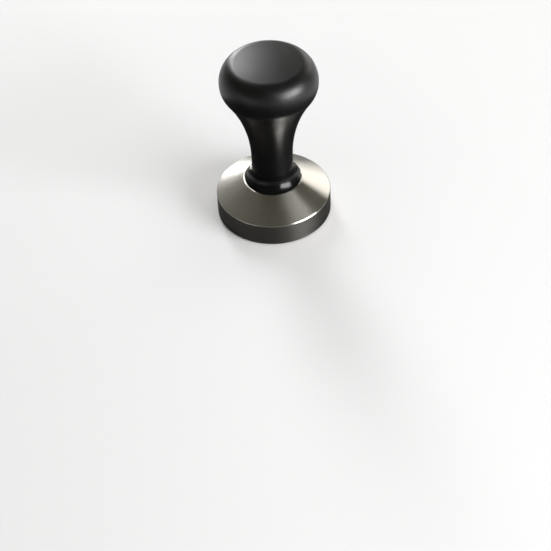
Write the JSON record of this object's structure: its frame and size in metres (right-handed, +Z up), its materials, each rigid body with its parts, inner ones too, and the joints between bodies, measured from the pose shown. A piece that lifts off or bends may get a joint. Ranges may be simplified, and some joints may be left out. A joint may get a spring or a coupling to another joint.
{
  "type": "espresso tamper",
  "caption": "Espresso tamper: a turned steel piston with a conical shoulder, a black flared neck and a round black knob; the handle unscrews from the piston.",
  "frame": {"origin": "centre of the sole, the flat face that presses the coffee", "axes": "+Z up the axis of the tamper, from the sole to the crown of the knob; +X and +Y lie in the sole"},
  "size_m": [0.058, 0.058, 0.0922],
  "materials": {
    "stainless_steel": "satin turned stainless steel with fine concentric lines",
    "black_handle": "black anodised aluminium, fine satin grain",
    "fastener_steel": "plain steel, machined",
    "ring_rubber": "matt black rubber"
  },
  "bodies": {
    "base": {"tamper_base": "stainless_steel", "mounting_stud": "fastener_steel"},
    "ring": {"foot_o_ring": "ring_rubber"},
    "handle": {"handle_stem": "black_handle", "threaded_insert": "fastener_steel", "knob": "black_handle", "knob_screw": "fastener_steel", "spring_washer": "fastener_steel", "flat_washer": "fastener_steel", "locating_pins": "fastener_steel"}
  },
  "joints": [
    {"name": "handle_rise", "type": "slide", "parent": "base", "child": "ring", "axis": [0, 0, 1], "range_m": [0, 0.018]},
    {"name": "handle_unscrew", "type": "hinge", "parent": "ring", "child": "handle", "pos_m": [0, 0, 0.02], "axis": [0, 0, 1], "range_deg": [0, 4320]}
  ],
  "couplings": [
    {"joint": "handle_rise", "follows": "handle_unscrew", "m_per_rad": 0.00023873}
  ]
}
